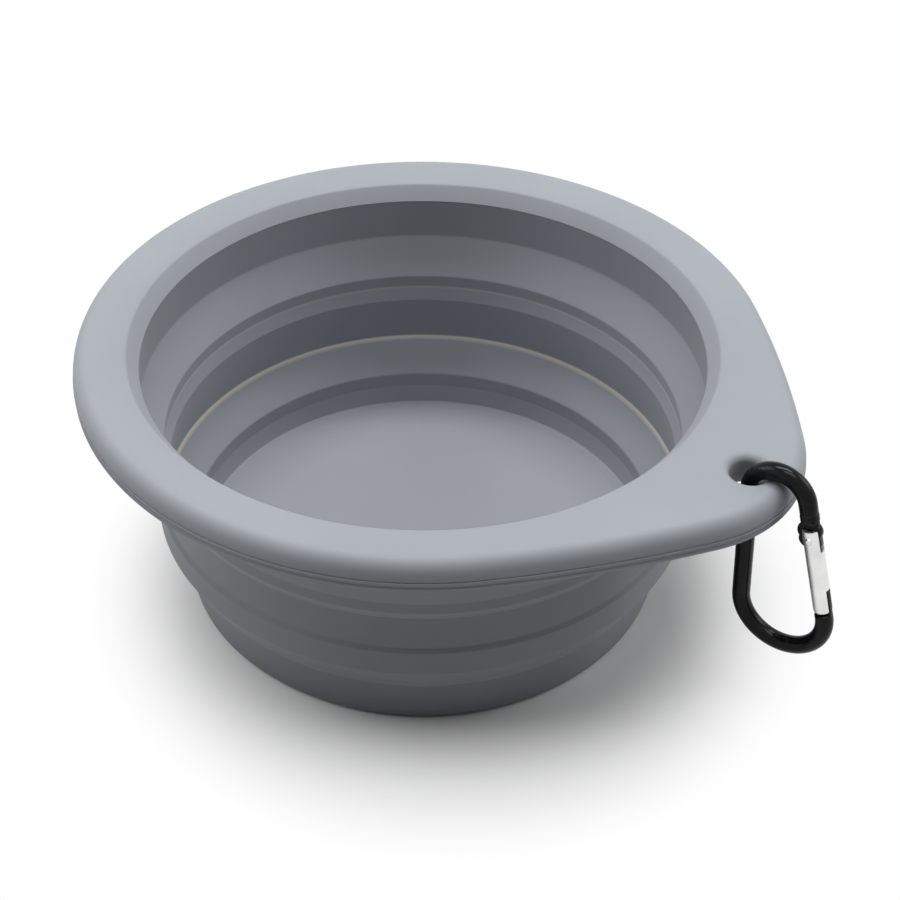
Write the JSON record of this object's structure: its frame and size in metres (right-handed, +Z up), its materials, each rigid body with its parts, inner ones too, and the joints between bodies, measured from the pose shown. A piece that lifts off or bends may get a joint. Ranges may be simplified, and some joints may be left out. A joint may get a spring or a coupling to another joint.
{
  "type": "collapsible bowl",
  "caption": "Collapsible silicone travel bowl with two folding rings, a stiff rim with a pierced hanging lobe, and a snap-gate carabiner hanging from it",
  "frame": {"origin": "Centre of the round face that the bowl stands on, with the bowl unfolded.", "axes": "+Z is up out of the bowl, and +X runs to the tip of the rim's pierced lobe."},
  "size_m": [0.1531, 0.13, 0.0584],
  "materials": {
    "rim_plastic": "matte silicone skin over a stiff ring",
    "silicone": "matte",
    "black_anodised": "glossy black",
    "gate_metal": "satin",
    "rivet_metal": "satin",
    "spring_steel": "plain"
  },
  "bodies": {
    "base": {"base_cup": "silicone", "lower_fold": "silicone"},
    "middle": {"middle_ring": "silicone", "upper_fold": "silicone"},
    "rim": {"rim_ring": "rim_plastic", "upper_wall": "silicone"},
    "carabiner": {"carabiner_body": "black_anodised"},
    "gate": {"carabiner_gate": "gate_metal", "gate_rivet": "rivet_metal", "gate_spring": "spring_steel"},
    "plunger": {"spring_plunger": "spring_steel"}
  },
  "joints": [
    {"name": "lower_fold_slide", "type": "slide", "parent": "base", "child": "middle", "axis": [0, 0, -1], "range_m": [0, 0.0144], "deforming": ["lower_fold"]},
    {"name": "upper_fold_slide", "type": "slide", "parent": "middle", "child": "rim", "axis": [0, 0, -1], "range_m": [0, 0.0159], "deforming": ["upper_fold"]},
    {"name": "carabiner_swing", "type": "hinge", "parent": "rim", "child": "carabiner", "pos_m": [0.07423, 0, 0.0514], "axis": [0, -1, 0], "range_deg": [-28, 180]},
    {"name": "gate_hinge", "type": "hinge", "parent": "carabiner", "child": "gate", "pos_m": [0.08136, 0, 0.04651], "axis": [0, 1, 0], "range_deg": [0, 30], "stiffness_Nm_per_rad": 0.008, "springref_deg": -28.65},
    {"name": "plunger_slide", "type": "slide", "parent": "gate", "child": "plunger", "axis": [0.2904, 0, -0.9569], "range_m": [0, 0.0004], "stiffness_N_per_m": 5, "springref_m": -0.0001, "deforming": ["gate_spring"]}
  ],
  "couplings": [
    {"joint": "plunger_slide", "follows": "gate_hinge", "m_per_rad": 0.00066081}
  ]
}
